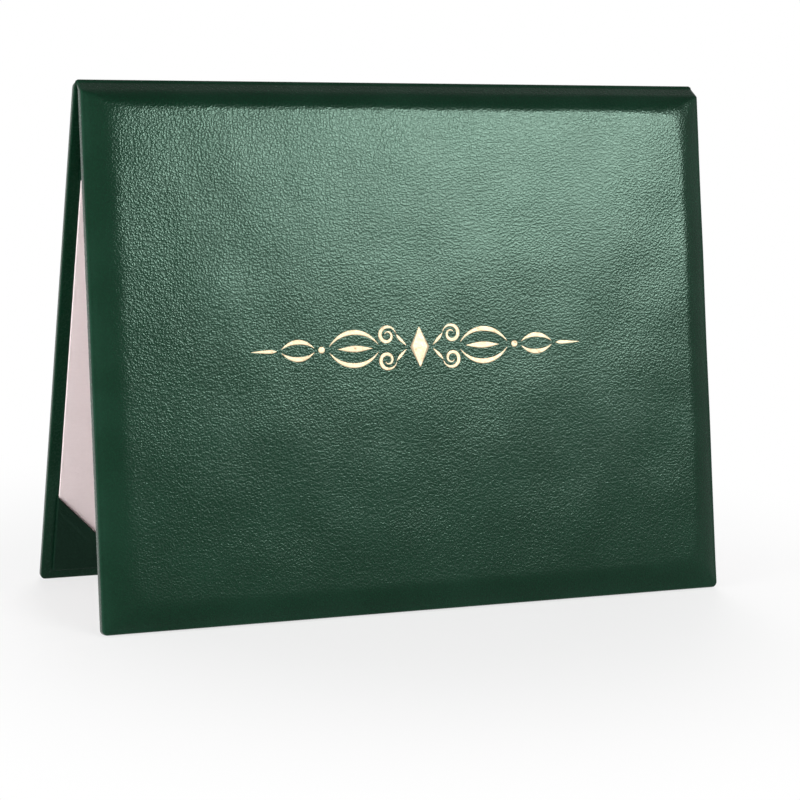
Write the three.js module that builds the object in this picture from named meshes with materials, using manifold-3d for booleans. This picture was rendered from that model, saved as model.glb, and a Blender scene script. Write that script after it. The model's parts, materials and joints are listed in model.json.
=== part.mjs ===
// A padded diploma cover for one letter-size sheet, standing open as a tent.
// Two stiff covers hang from a leatherette fold along their long top side.
// Units are millimetres, +Z is up, +X runs along the fold and the front cover faces -Y.
// The origin is on the surface it stands on, under the middle of its bounding box.

import * as THREE from 'three';
import { mergeVertices } from 'three/addons/utils/BufferGeometryUtils.js';
import Module from 'manifold-3d';

const wasm = await Module();
wasm.setup();

// Overall sizes
const COVER_WIDTH = 295;          // along the fold
const COVER_LENGTH = 232;         // from the fold down to the bottom edge
const TENT_HALF_ANGLE = 11.2;     // degrees, each cover from the vertical

// Sheets and boards, through the thickness
const CLEARANCE = 0.3;            // between pieces that lie on each other
const CLOSING_SPACE = 0.6;        // from the closing plane to a lining's face
const LINING_THICKNESS = 1.0;
const WRAP_THICKNESS = 0.6;
const LINER_THICKNESS = 0.6;
const BOARD_THICKNESS = 2.0;
const FOAM_RIM = 0.9;             // the foam's thickness where the board's edge squeezes it
const POCKET_THICKNESS = 0.4;

// Padding of the front cover
const PAD_RISE = 3.2;             // plateau above the rim
const PAD_SLOPE = 11.5;           // width of the slope between rim and plateau
const PAD_CORNER = 12;            // corner radius of the plateau
const PAD_CROWN = 0.8;            // the middle stands this much above the plateau's edge

// Edges and corners of a wrapped cover
const CORNER_RADIUS = 2.2;
const RIM_RADIUS = 0.9;
const INNER_EDGE_RADIUS = 0.6;
const LEAST_RADIUS = 0.15;        // inside a tight fold of the sheet
const TURN_IN = 15;               // leatherette folded in over the board's inner face

// Fold between the covers
const FOLD_RADIUS = 1.2;          // outside of the bead along the fold
const FRONT_WEB = 3.4;            // bare leatherette from the fold to the front board
const BACK_WEB = 2.6;             // the same on the back
const LINER_LAP = 12;             // how far the inner strip lies on each board
const LINER_START = 0.25;         // the inner strip's distance from the closing plane at the fold

// Linings and the corner pockets that hold the sheet
const LINING_INSET = 5.5;         // leatherette border left bare round a lining
const LINING_TOP_INSET = 5;       // the same beside the fold
const POCKET_LEG = 35;            // along each edge of the lining
const LINING_CORNER = 0.8;

// Smoothness of curved stretches
const CORNER_STEPS = 5;
const MOST_ROUND = 0.45;          // of an outline's side, so that its corners keep apart
const EDGE_STEPS = 3;
const SLOPE_STEPS = 7;
const FOLD_SIDES = 16;
const CROWN_FRACTIONS = [0.3, 0.6, 0.88];

// Levels are distances out from the closing plane, in which the fold's axis lies
const liningFace = CLOSING_SPACE;
const wrapInside = liningFace + LINING_THICKNESS + CLEARANCE;
const boardInside = wrapInside + WRAP_THICKNESS + CLEARANCE;
const boardOutside = boardInside + BOARD_THICKNESS;
const foamInside = boardOutside + CLEARANCE;
const coverStep = WRAP_THICKNESS + CLEARANCE;   // from a wrap's outside to what it covers

const front = {
  top: FRONT_WEB,
  rim: foamInside + FOAM_RIM + coverStep,
  rise: PAD_RISE,
  crown: PAD_CROWN,
};
const back = {
  top: BACK_WEB,
  rim: boardOutside + coverStep,
  rise: 0,
  crown: 0,
};

const leatherette = new THREE.MeshStandardMaterial({ color: 0x1f3c2d, roughness: 0.48, metalness: 0 });
const hingeCloth = new THREE.MeshStandardMaterial({ color: 0x16301f, roughness: 0.6, metalness: 0 });
const greyBoard = new THREE.MeshStandardMaterial({ color: 0x8b857b, roughness: 0.95, metalness: 0 });
const foam = new THREE.MeshStandardMaterial({ color: 0xece8dc, roughness: 1, metalness: 0 });
const liningPaper = new THREE.MeshStandardMaterial({ color: 0xe5d8d8, roughness: 0.7, metalness: 0 });

// A point of a cover: across, down from the fold's axis, and out from the closing plane
function place(across, down, out) {
  return [across, -out, -down];
}

// Corner points of a rounded rectangle, in order, each as across and down
function roundedOutline(cover, inset, corner) {
  const halfWidth = COVER_WIDTH / 2 - inset;
  const top = cover.top + inset;
  const bottom = COVER_LENGTH - inset;
  const radius = Math.min(corner, MOST_ROUND * 2 * halfWidth, MOST_ROUND * (bottom - top));
  const centres = [
    [halfWidth - radius, bottom - radius],
    [radius - halfWidth, bottom - radius],
    [radius - halfWidth, top + radius],
    [halfWidth - radius, top + radius],
  ];
  return centres.flatMap(([across, down], quarter) =>
    Array.from({ length: CORNER_STEPS + 1 }, (_, step) => {
      const angle = (quarter + step / CORNER_STEPS) * Math.PI / 2;
      return [across + radius * Math.cos(angle), down + radius * Math.sin(angle)];
    }));
}

function geometryFrom(positions, indices) {
  const geometry = new THREE.BufferGeometry();
  geometry.setAttribute('position', new THREE.Float32BufferAttribute(positions, 3));
  geometry.setIndex(indices);
  return geometry;
}

// A closed body through rings that all have as many points, from the inside face outwards
function loft(cover, rings) {
  const outlines = rings.map((ring) => roundedOutline(cover, ring.inset, ring.corner));
  const count = outlines[0].length;
  const middle = (cover.top + COVER_LENGTH) / 2;
  const positions = outlines.flatMap((outline, index) =>
    outline.flatMap(([across, down]) => place(across, down, rings[index].level)));
  const firstCentre = positions.length / 3;
  positions.push(...place(0, middle, rings[0].level));
  const lastCentre = firstCentre + 1;
  positions.push(...place(0, middle, rings[rings.length - 1].level));
  const lastRing = (rings.length - 1) * count;
  const indices = [];
  for (let point = 0; point < count; point += 1) {
    const next = (point + 1) % count;
    indices.push(firstCentre, point, next);
    indices.push(lastCentre, lastRing + next, lastRing + point);
    for (let ring = 0; ring < rings.length - 1; ring += 1) {
      const lower = ring * count;
      const upper = lower + count;
      indices.push(lower + point, upper + next, lower + next);
      indices.push(lower + point, upper + point, upper + next);
    }
  }
  return geometryFrom(positions, indices);
}

// A closed body of one section, drawn as down and out, carried along the fold
function strip(section, halfWidth) {
  const shape = new THREE.Shape(section.map(([down, out]) => new THREE.Vector2(-out, -down)));
  const geometry = new THREE.ExtrudeGeometry(shape, { depth: 2 * halfWidth, bevelEnabled: false });
  geometry.translate(0, 0, -halfWidth);
  // The section's plane turns upright, so that its depth runs along X
  geometry.applyMatrix4(new THREE.Matrix4().set(
    0, 0, 1, 0,
    1, 0, 0, 0,
    0, 1, 0, 0,
    0, 0, 0, 1,
  ));
  return geometry;
}

// A closed body of one outline, drawn as across and down, between two levels
function plate(outline, inner, outer) {
  const shape = new THREE.Shape(outline.map(([across, down]) => new THREE.Vector2(across, down)));
  const geometry = new THREE.ExtrudeGeometry(shape, { depth: outer - inner, bevelEnabled: false });
  geometry.translate(0, 0, inner);
  geometry.applyMatrix4(new THREE.Matrix4().set(
    1, 0, 0, 0,
    0, 0, -1, 0,
    0, -1, 0, 0,
    0, 0, 0, 1,
  ));
  // The outline's down is -Z, which mirrors it, so each triangle is turned over
  return flipped(geometry);
}

function flipped(geometry) {
  const merged = bare(geometry);
  const index = merged.index.array;
  for (let corner = 0; corner < index.length; corner += 3) {
    const kept = index[corner];
    index[corner] = index[corner + 1];
    index[corner + 1] = kept;
  }
  return merged;
}

function bare(geometry) {
  const copy = geometry.clone();
  copy.deleteAttribute('normal');
  copy.deleteAttribute('uv');
  return mergeVertices(copy);
}

function solid(geometry) {
  const merged = bare(geometry);
  return new wasm.Manifold(new wasm.Mesh({
    numProp: 3,
    vertProperties: new Float32Array(merged.attributes.position.array),
    triVerts: new Uint32Array(merged.index.array),
  }));
}

function geometryOf(manifold) {
  const mesh = manifold.getMesh();
  return geometryFrom(Array.from(mesh.vertProperties), Array.from(mesh.triVerts));
}

// Levels and insets of a cover's outside, or of a surface that lies the given depth under it
function coverRings(cover, depth) {
  const rings = [];
  const inside = wrapInside + depth;
  const rim = cover.rim - depth;
  const cornerAt = (inset) => Math.max(CORNER_RADIUS - inset, LEAST_RADIUS);
  const arc = (radius, from, outLevel) => {
    for (let step = 0; step <= EDGE_STEPS; step += 1) {
      const angle = from + step / EDGE_STEPS * Math.PI / 2;
      const inset = depth + radius * (1 - Math.sin(angle));
      rings.push({ inset, level: outLevel - radius * Math.cos(angle), corner: cornerAt(inset) });
    }
  };
  const innerRadius = Math.max(INNER_EDGE_RADIUS - depth, LEAST_RADIUS);
  const rimRadius = Math.max(RIM_RADIUS - depth, LEAST_RADIUS);
  arc(innerRadius, 0, inside + innerRadius);
  arc(rimRadius, Math.PI / 2, rim - rimRadius);
  if (cover.rise > 0) {
    rings.push(...padRings(cover, depth, rim, depth + rimRadius, cornerAt(depth + rimRadius)));
  }
  return rings;
}

// The padded slope rises as a smooth step, and the plateau swells towards its middle
function padRings(cover, depth, rim, start, startCorner) {
  const rings = [];
  for (let step = 1; step <= SLOPE_STEPS; step += 1) {
    const share = step / SLOPE_STEPS;
    const height = share * share * (3 - 2 * share);
    rings.push({
      inset: start + (PAD_SLOPE + depth - start) * share,
      level: rim + cover.rise * height,
      corner: startCorner + (PAD_CORNER - startCorner) * share,
    });
  }
  const deepest = (COVER_LENGTH - cover.top) / 2;
  CROWN_FRACTIONS.forEach((share) => {
    rings.push({
      inset: PAD_SLOPE + depth + (deepest - PAD_SLOPE - depth) * share,
      level: rim + cover.rise + cover.crown * (1 - (1 - share) ** 2),
      corner: PAD_CORNER,
    });
  });
  return rings;
}

// The sheet between fold and rim is a straight band. It leaves the bead on the front,
// and on the back it stops short of the bead, which turns beside it.
function webBand(cover) {
  const rimEnd = cover.top + RIM_RADIUS;
  const reach = (FOLD_RADIUS + CLEARANCE) * Math.SQRT1_2;
  const slant = Math.atan2(cover.rim - FOLD_RADIUS, rimEnd);
  const upright = WRAP_THICKNESS / Math.cos(slant);
  const [down, inner] = cover === front ? [0, FOLD_RADIUS - upright] : [reach, reach];
  return {
    inner: [down, inner],
    outer: [down, inner + upright],
    rimInner: [rimEnd, cover.rim - WRAP_THICKNESS],
    rimOuter: [rimEnd, cover.rim],
  };
}

// The band's section runs a little way into the sheet on the cover, to join it
function webSection(cover) {
  const { inner, outer, rimInner, rimOuter } = webBand(cover);
  const joined = rimOuter[0] + RIM_RADIUS / 2;
  return [inner, outer, rimOuter, [joined, rimOuter[1]], [joined, rimInner[1]], rimInner];
}

// What the cover's own edge has under the band, where the sheet goes to the fold instead
function underWebSection(cover) {
  const { inner, rimInner } = webBand(cover);
  const floor = wrapInside - WRAP_THICKNESS;
  const start = cover.top - WRAP_THICKNESS;
  const rise = (rimInner[1] - inner[1]) / (rimInner[0] - inner[0]);
  return [[start, floor], [start, inner[1] + rise * (start - inner[0])], rimInner, [rimInner[0], floor]];
}

function foldBead() {
  const section = Array.from({ length: FOLD_SIDES }, (_, side) => {
    const angle = side / FOLD_SIDES * 2 * Math.PI;
    return [FOLD_RADIUS * Math.sin(angle), FOLD_RADIUS * Math.cos(angle)];
  });
  return strip(section, COVER_WIDTH / 2);
}

// One sheet: over the outside, round three edges, folded in, and up to the fold on the fourth
function wrap(cover) {
  const outside = solid(loft(cover, coverRings(cover, 0)));
  const inside = solid(loft(cover, coverRings(cover, WRAP_THICKNESS)));
  const belowSheet = wrapInside - WRAP_THICKNESS;
  const windowEdge = COVER_WIDTH / 2 - TURN_IN;
  const windowBottom = COVER_LENGTH - TURN_IN;
  const window = solid(plate([
    [-windowEdge, 0], [windowEdge, 0], [windowEdge, windowBottom], [-windowEdge, windowBottom],
  ], belowSheet, wrapInside + 2 * WRAP_THICKNESS));
  const topEdge = solid(strip(underWebSection(cover), COVER_WIDTH));
  let sheet = outside.subtract(inside).subtract(window).subtract(topEdge);
  sheet = sheet.add(solid(strip(webSection(cover), COVER_WIDTH / 2)));
  if (cover === front) {
    sheet = sheet.add(solid(foldBead()));
  }
  return geometryOf(sheet);
}

function board(cover) {
  const corner = Math.max(CORNER_RADIUS - coverStep, LEAST_RADIUS);
  return plate(roundedOutline(cover, coverStep, corner), boardInside, boardOutside);
}

// The foam keeps the wrap's outer form, less the wrap's thickness and a clearance
function foamPad(cover) {
  const rings = coverRings(cover, coverStep).filter((ring) => ring.level > foamInside);
  const edge = { inset: coverStep, level: foamInside, corner: rings[0].corner };
  return loft(cover, [edge, ...rings]);
}

function liningOutline(cover) {
  const halfWidth = COVER_WIDTH / 2 - LINING_INSET;
  return { halfWidth, top: cover.top + LINING_TOP_INSET, bottom: COVER_LENGTH - LINING_INSET };
}

function lining(cover) {
  const { halfWidth, top, bottom } = liningOutline(cover);
  const c = LINING_CORNER;
  const outline = [
    [halfWidth - c, bottom], [c - halfWidth, bottom], [-halfWidth, bottom - c], [-halfWidth, top + c],
    [c - halfWidth, top], [halfWidth - c, top], [halfWidth, top + c], [halfWidth, bottom - c],
  ];
  return plate(outline, liningFace, liningFace + LINING_THICKNESS);
}

// The inner strip lies on the board under the lining and runs up to the fold
function hingeLiner(cover) {
  const start = FOLD_RADIUS + CLEARANCE;
  const end = cover.top + LINER_LAP;
  const section = [
    [start, LINER_START], [start, LINER_START + LINER_THICKNESS],
    [cover.top, wrapInside + LINER_THICKNESS], [end, wrapInside + LINER_THICKNESS],
    [end, wrapInside], [cover.top, wrapInside],
  ];
  return strip(section, COVER_WIDTH / 2 - TURN_IN - CLEARANCE);
}

// A triangle over one corner of the lining, folded down round both of its edges
function cornerPocket(cover, side, atBottom) {
  const { halfWidth, top, bottom } = liningOutline(cover);
  const fold = POCKET_THICKNESS + CLEARANCE;
  const leg = POCKET_LEG + fold;
  const cornerDown = atBottom ? bottom + fold : top - fold;
  const cornerAcross = halfWidth + fold;
  const inward = atBottom ? -1 : 1;
  const triangle = [
    [side * cornerAcross, cornerDown],
    [side * (cornerAcross - leg), cornerDown],
    [side * cornerAcross, cornerDown + inward * leg],
  ];
  const ordered = side * inward > 0 ? triangle.reverse() : triangle;
  const sheetInside = liningFace - CLEARANCE;
  const outer = plate(ordered, sheetInside - POCKET_THICKNESS, wrapInside - CLEARANCE);
  const room = plate([
    [-halfWidth - CLEARANCE, top - CLEARANCE], [halfWidth + CLEARANCE, top - CLEARANCE],
    [halfWidth + CLEARANCE, bottom + CLEARANCE], [-halfWidth - CLEARANCE, bottom + CLEARANCE],
  ], sheetInside, wrapInside + CLEARANCE);
  return geometryOf(solid(outer).subtract(solid(room)));
}

function piece(name, geometry, material) {
  const mesh = new THREE.Mesh(geometry, material);
  mesh.name = name;
  return mesh;
}

function frontCover() {
  const group = new THREE.Group();
  group.add(piece('front_wrap', wrap(front), leatherette));
  group.add(piece('front_board', board(front), greyBoard));
  group.add(piece('front_foam_pad', foamPad(front), foam));
  group.add(piece('front_lining', lining(front), liningPaper));
  group.add(piece('front_hinge_liner', hingeLiner(front), hingeCloth));
  group.rotation.set(-THREE.MathUtils.degToRad(TENT_HALF_ANGLE), 0, 0);
  return group;
}

// The back is built like the front and turned half round, so its left is the front's right
function backCover() {
  const group = new THREE.Group();
  group.add(piece('back_wrap', wrap(back), leatherette));
  group.add(piece('back_board', board(back), greyBoard));
  group.add(piece('back_lining', lining(back), liningPaper));
  group.add(piece('back_hinge_liner', hingeLiner(back), hingeCloth));
  for (const [sideName, side] of [['left', 1], ['right', -1]]) {
    for (const [endName, atBottom] of [['top', false], ['bottom', true]]) {
      const name = `corner_pocket_${endName}_${sideName}`;
      group.add(piece(name, cornerPocket(back, side, atBottom), leatherette));
    }
  }
  group.rotation.set(THREE.MathUtils.degToRad(TENT_HALF_ANGLE), 0, Math.PI);
  return group;
}

const cover = new THREE.Group();
cover.add(frontCover(), backCover());
cover.updateMatrixWorld(true);
const bounds = new THREE.Box3().setFromObject(cover, true);
cover.position.set(0, -(bounds.min.y + bounds.max.y) / 2, -bounds.min.z);

export default cover;
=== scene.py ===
# %% [markdown]
# A padded diploma cover, dressed for the camera
#
# The cover is two stiff boards hung from a fold, wrapped in one sheet of dark green
# leatherette and standing open as a tent. The measured frame is loaded first, and the
# main sizes are read from it. Each step then makes one real piece: the sheet, the strip in
# the fold, the linings, the foam, the corner pockets and the foil.

# %% Load the measured frame
import json
import math

import bmesh
import bpy
import numpy as np
from mathutils import Matrix, Vector


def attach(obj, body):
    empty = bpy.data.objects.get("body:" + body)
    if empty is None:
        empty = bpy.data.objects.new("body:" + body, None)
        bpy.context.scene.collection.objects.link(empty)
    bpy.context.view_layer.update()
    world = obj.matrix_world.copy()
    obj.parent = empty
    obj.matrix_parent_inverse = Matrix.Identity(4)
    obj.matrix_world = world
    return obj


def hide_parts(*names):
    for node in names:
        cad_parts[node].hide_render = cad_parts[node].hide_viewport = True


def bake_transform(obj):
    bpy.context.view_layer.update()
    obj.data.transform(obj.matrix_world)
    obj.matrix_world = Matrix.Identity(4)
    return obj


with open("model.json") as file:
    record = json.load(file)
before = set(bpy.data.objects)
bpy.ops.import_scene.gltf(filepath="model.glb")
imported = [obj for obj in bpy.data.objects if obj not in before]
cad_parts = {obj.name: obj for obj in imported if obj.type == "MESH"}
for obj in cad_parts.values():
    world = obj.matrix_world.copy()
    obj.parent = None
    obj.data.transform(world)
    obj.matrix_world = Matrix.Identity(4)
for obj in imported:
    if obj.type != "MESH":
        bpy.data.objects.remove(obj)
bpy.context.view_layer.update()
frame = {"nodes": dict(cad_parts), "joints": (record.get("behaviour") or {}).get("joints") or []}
print("pieces in the frame:", sorted(frame["nodes"]))

# %% [markdown]
# Each cover is flat in its own coordinates: across along the fold, down from the fold's
# axis, and out from the plane in which shut covers meet. Pieces are shaped in those three
# numbers, in millimetres, and one function puts them on the tilted cover.

# %% The covers' own coordinates
MM = 0.001
hinge = frame["joints"][0]
fold_axis = np.array(hinge["pos_m"]) / MM
half_angle = -math.radians(hinge["range_deg"][0]) / 2
sine, cosine = math.sin(half_angle), math.cos(half_angle)
COVERS = {"front": -1.0, "back": 1.0}


def on_cover(cover, across, down, out):
    """Points in the frame: the axis, plus down along the cover and out along its normal."""
    side = COVERS[cover]
    across, down, out = np.broadcast_arrays(across, down, out)
    y = side * (down * sine + out * cosine)
    z = -down * cosine + out * sine
    return fold_axis + np.stack([across, y, z], axis=-1).astype(float)


def extent(node, cover):
    """Lowest and highest (across, down, out) of a measured node, in its cover's coordinates."""
    mesh = frame["nodes"][node].data
    points = np.zeros(len(mesh.vertices) * 3, np.float32)
    mesh.vertices.foreach_get("co", points)
    away = points.reshape(-1, 3) / MM - fold_axis
    side = COVERS[cover]
    down = side * away[:, 1] * sine - away[:, 2] * cosine
    out = side * away[:, 1] * cosine + away[:, 2] * sine
    own = np.stack([away[:, 0], down, out], axis=1)
    return own.min(axis=0), own.max(axis=0)


half_width, length, _ = extent("front_wrap", "front")[1]
print(f"cover {2 * half_width:.1f} x {length:.1f} mm, {math.degrees(half_angle):.1f} degrees each side")

# %% [markdown]
# Grids are joined to their neighbours by sharing point numbers, so that each piece is one
# closed skin. Blender sets the normals, and the number of edges that don't have just two
# faces is printed. It should be nought, and is ten at a corner pocket's sharp corner.

# %% Helpers that turn arrays into meshes


def add_object(name, data):
    """A new object, linked into the scene."""
    made = bpy.data.objects.new(name, data)
    bpy.context.scene.collection.objects.link(made)
    return made


def new_piece(name, points, faces, flat=None):
    """A smooth mesh at the origin, from points in millimetres and lists of point numbers.
    Flat is each point's place on the unfolded sheet, and third how much it gets rubbed and
    painted paler, which is wear and also a painted highlight."""
    mesh = bpy.data.meshes.new(name)
    mesh.from_pydata((np.asarray(points, float) * MM).tolist(), [], [list(map(int, f)) for f in faces])
    if flat is not None:
        layer = mesh.attributes.new("sheet_place", "FLOAT_VECTOR", "POINT")
        layer.data.foreach_set("vector", np.asarray(flat, np.float32).ravel())
    work = bmesh.new()
    work.from_mesh(mesh)
    bmesh.ops.remove_doubles(work, verts=work.verts, dist=2e-6)
    bmesh.ops.recalc_face_normals(work, faces=work.faces)
    open_edges = sum(1 for edge in work.edges if len(edge.link_faces) != 2)
    volume = work.calc_volume(signed=True)
    if volume < 0:
        bmesh.ops.reverse_faces(work, faces=work.faces)
    work.to_mesh(mesh)
    work.free()
    mesh.polygons.foreach_set("use_smooth", np.ones(len(mesh.polygons), bool))
    mesh.update()
    piece = add_object(name, mesh)
    print(f"{name}: {len(mesh.polygons)} faces, {open_edges} open edges, {abs(volume) * 1e6:.2f} cubic cm")
    return piece


def crease(piece, degrees=35):
    """Marks edges sharper than the angle, so that big flat faces stay flat when shaded."""
    work = bmesh.new()
    work.from_mesh(piece.data)
    for edge in work.edges:
        if len(edge.link_faces) == 2 and edge.calc_face_angle(0) > math.radians(degrees):
            edge.smooth = False
    work.to_mesh(piece.data)
    work.free()


def grid_faces(numbers):
    """Quads between neighbours of a two-way array of point numbers, doubled corners dropped."""
    corners = np.stack(
        [numbers[:-1, :-1], numbers[1:, :-1], numbers[1:, 1:], numbers[:-1, 1:]], axis=-1
    ).reshape(-1, 4)
    doubled = (corners == np.roll(corners, 1, axis=1)).any(axis=1)
    faces = corners[~doubled].tolist()
    for face in corners[doubled].tolist():
        kept = list(dict.fromkeys(face))
        if len(kept) > 2:
            faces.append(kept)
    return faces


def ring_faces(rings):
    """Quads between loops of point numbers, each loop closed on itself."""
    return grid_faces(np.column_stack([rings, rings[:, 0]]))


def arc(start, end, steps):
    """Angles from start to end degrees, both included, in radians."""
    return np.radians(np.linspace(start, end, steps + 1))


def graded(*stops):
    """Values from stop to stop, each stretch cut evenly into its own number of steps."""
    parts = [np.linspace(a, b, n, endpoint=False) for (a, b, n) in stops]
    return np.concatenate(parts + [[stops[-1][1]]])


def soft_noise(u, v, seed, lumps=14, longest=60.0, shortest=14.0):
    """A gentle uneven field from about -1 to 1: a sum of a few plane waves, each with its
    own direction, wavelength and phase from a seeded draw, the longer waves stronger."""
    draw = np.random.default_rng(seed)
    turns = draw.uniform(0, 2 * np.pi, lumps)
    waves = draw.uniform(shortest, longest, lumps)
    phases = draw.uniform(0, 2 * np.pi, lumps)
    total = sum(
        w / longest * np.sin((u * np.cos(t) + v * np.sin(t)) * 2 * np.pi / w + p)
        for t, w, p in zip(turns, waves, phases)
    )
    return total / (waves / longest).sum() * 2


# %% [markdown]
# The wrap is one sheet, so it is one piece. Flat it is a rectangle: the back cover at one
# end, the front at the other, and the fold across its middle. Its face is a grid over that
# rectangle. Round it run loops that roll over the board's edge and in behind it, and the
# same loops come back a sheet's thickness inside. The front swells over foam with the
# distance from its edges, steeply at the rim and then easing, slacker on the left.

# %% Sizes of the wrap
board_low = extent("front_board", "front")[0]
back_board_low, back_board_high = extent("back_board", "back")
front_foam_low, front_foam_high = extent("front_foam_pad", "front")
SHEET = 0.45                # thickness of the leatherette
AIR = 0.1                   # between the sheet and what it wraps
FOAM_RIM = 0.9              # foam squeezed thin at the board's edge
OVER_BOARD = 0.9            # from a board's edge to the sheet's outside
BEHIND_BOARD = 0.4          # from a board to the turned-in layer
CORNER = 2.2                # plan radius of a wrapped corner
RIM_ROUND = 1.1             # roll of the sheet over the board's outer edge
INNER_ROUND = 0.7           # roll of the sheet over the board's inner edge
TURN_IN = 15.0              # sheet folded in behind the board
FOLD_FACE = 1.2             # outside of the fold, from its axis
FOLD_INSIDE = 0.35          # the turned-in layer's distance from the axis
FOLD_RUN = 1.6              # how much of the flat sheet the turn takes, each side of the middle
PAD_RISE = 3.2              # from the rim to the plateau
PAD_CORNER = 2.4            # power that merges two slopes: the smaller, the rounder the corner
PAD_CROWN = 0.8             # further swell of the plateau's middle
SLOPE_LEFT, SLOPE_RIGHT, SLOPE_TOP, SLOPE_BOTTOM = 14.5, 11.0, 8.0, 12.0
EASE_LEFT, EASE_RIGHT = 2.2, 1.5
inner_level = board_low[2] - SHEET - BEHIND_BOARD
rims = {"front": front_foam_low[2] + FOAM_RIM + OVER_BOARD, "back": back_board_high[2] + OVER_BOARD}
tops = {"front": board_low[1] - OVER_BOARD, "back": back_board_low[1] - OVER_BOARD}

# %% The padded face


def pad_share(across, down):
    """How far in the padded slope a point lies, nought at the rim and one on the plateau.
    Each edge has its own slope width. The two shares are merged by adding their inverse
    powers, so that the plateau's corner is round and the slope still ends at the rim."""
    width = SLOPE_LEFT + (SLOPE_RIGHT - SLOPE_LEFT) * (0.5 + across / half_width / 2)
    to_side = np.clip((half_width - RIM_ROUND - np.abs(across)) / width, 1e-6, None)
    to_top = (down - tops["front"] - RIM_ROUND) / SLOPE_TOP
    to_bottom = (length - RIM_ROUND - down) / SLOPE_BOTTOM
    to_end = np.clip(np.minimum(to_top, to_bottom), 1e-6, None)
    return np.clip((to_side**-PAD_CORNER + to_end**-PAD_CORNER) ** (-1 / PAD_CORNER), 0, 1)


def pad_height(across, down):
    """Height over the rim: steep at first and easing onto the plateau, which swells a
    little towards its middle. The sheet is tighter on the right, so its shoulder is sharper
    there."""
    share = pad_share(across, down)
    ease = EASE_LEFT + (EASE_RIGHT - EASE_LEFT) * (0.5 + across / half_width / 2)
    rise = 1 - (1 - share) ** ease
    middle = (length + tops["front"]) / 2
    swell = np.cos(across / half_width * np.pi / 2) * np.cos((down - middle) / middle * np.pi / 2)
    return PAD_RISE * rise + PAD_CROWN * rise * np.clip(swell, 0, 1) ** 0.6


# Creases at a corner: sideways shift, reach inwards, depth and spread
CREASES = ((0.4, 9.0, 0.20, 0.9), (-3.4, 6.0, 0.10, 0.8), (4.0, 6.5, 0.09, 0.9))


def corner_puckers(across, down):
    """Creases where the sheet is gathered round a corner: a groove along the diagonal with
    a soft welt on each side, and a shorter one each way beside it, fading to the plateau."""
    total = np.zeros(np.broadcast(across, down).shape)
    for number, (side, at_end) in enumerate(((-1, False), (1, False), (-1, True), (1, True))):
        along_side = half_width - side * across
        along_end = length - down if at_end else down - tops["front"]
        inward = (along_side + along_end) / math.sqrt(2)
        apart = (along_side - along_end) / math.sqrt(2)
        for shift, reach, depth, spread in CREASES:
            line = apart - shift * (inward / reach) - 0.4 * np.sin(inward * 0.5 + number * 2)
            fade = np.exp(-((inward - 0.55 * reach) / (0.55 * reach)) ** 2)
            groove = -depth * np.exp(-((line / spread) ** 2))
            welts = 0.6 * depth * np.exp(-(((np.abs(line) - 2.1) / 1.2) ** 2))
            total += fade * (groove + welts)
    return total


def slack(across, down):
    """Very shallow unevenness of the foam and the sheet over it, tenths of a millimetre,
    with ripples across the slope where the sheet is gathered."""
    ripple = soft_noise(across, down, 5, longest=16.0, shortest=7.0) * 0.10
    steep = 4 * pad_share(across, down) * (1 - pad_share(across, down))
    return 0.16 * soft_noise(across, down, 3) + ripple * steep


def face_level(cover, across, down):
    """The sheet's outside, out from the shut plane: the web up to the rim, then the cover.
    The front's web runs straight on into the padded slope, and the back's rolls level."""
    rim, start = rims[cover], tops[cover] + RIM_ROUND
    share = np.clip(down / start, 0, 1)
    if cover == "front":
        rise = share
        raised = pad_height(across, down) + corner_puckers(across, down) + slack(across, down)
    else:
        rise = np.sin(share * np.pi / 2) ** 0.95
        raised = 0.05 * soft_noise(across, down, 4)
    inside = np.clip((down - start) / 0.8, 0, 1)
    return np.where(down < start, FOLD_FACE + (rim - FOLD_FACE) * rise, rim + raised * inside)


def inside_level(cover, down):
    """The turned-in layer's open face: level on the board, sloping to the axis at the web."""
    share = np.clip(down / tops[cover], 0, 1)
    return FOLD_INSIDE + (inner_level - FOLD_INSIDE) * share


# %% [markdown]
# A point of the flat sheet is given by across and along. Along runs from the back's bottom
# edge, through nought at the fold, to the front's. Near nought the sheet turns round the
# fold's axis.

# %% Roll the flat sheet round the fold


def roll_sheet(across, along, level):
    """Points in the frame. Beyond the turn, level is out from the shut plane. Inside it,
    the point stands at that distance from the axis, at an angle in step with along."""
    across, along, level = np.broadcast_arrays(across, along, level)
    down = np.clip(np.abs(along) - FOLD_RUN, 0, None)
    front = on_cover("front", across, down, level)
    back = on_cover("back", across, down, level)
    angle = np.clip(along / FOLD_RUN, -1, 1) * (np.pi / 2 - half_angle)
    round_axis = fold_axis + np.stack([across, -level * np.sin(angle), level * np.cos(angle)], axis=-1)
    flat = np.where((along > 0)[..., None], front, back)
    return np.where((np.abs(along) < FOLD_RUN)[..., None], round_axis, flat)


def both_levels(across, along):
    """Outside and turned-in levels of the sheet, from whichever cover a flat point lies on."""
    down = np.clip(np.abs(along) - FOLD_RUN, 0, None)
    face = np.where(along > 0, face_level("front", across, down), face_level("back", across, down))
    inner = np.where(along > 0, inside_level("front", down), inside_level("back", down))
    return face, inner


# %% [markdown]
# The loops round the grid carry the edge's profile: how far in a loop lies, and its share
# of the way from the outside to the turned-in layer. Only their four corners turn as arcs.

# %% Lay out the grid and its loops
CORNER_TURNS = 6
edge_across = half_width - CORNER
edge_along = length + FOLD_RUN - CORNER
across_half = graded((0, edge_across - 24, 41), (edge_across - 24, edge_across, 22))
along_half = graded(
    (0, FOLD_RUN, 5), (FOLD_RUN, FOLD_RUN + 6, 9), (FOLD_RUN + 6, 30, 22),
    (30, edge_along - 24, 58), (edge_along - 24, edge_along, 22),
)
grid_across = np.concatenate([-across_half[:0:-1], across_half])
grid_along = np.concatenate([-along_half[:0:-1], along_half])


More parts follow.
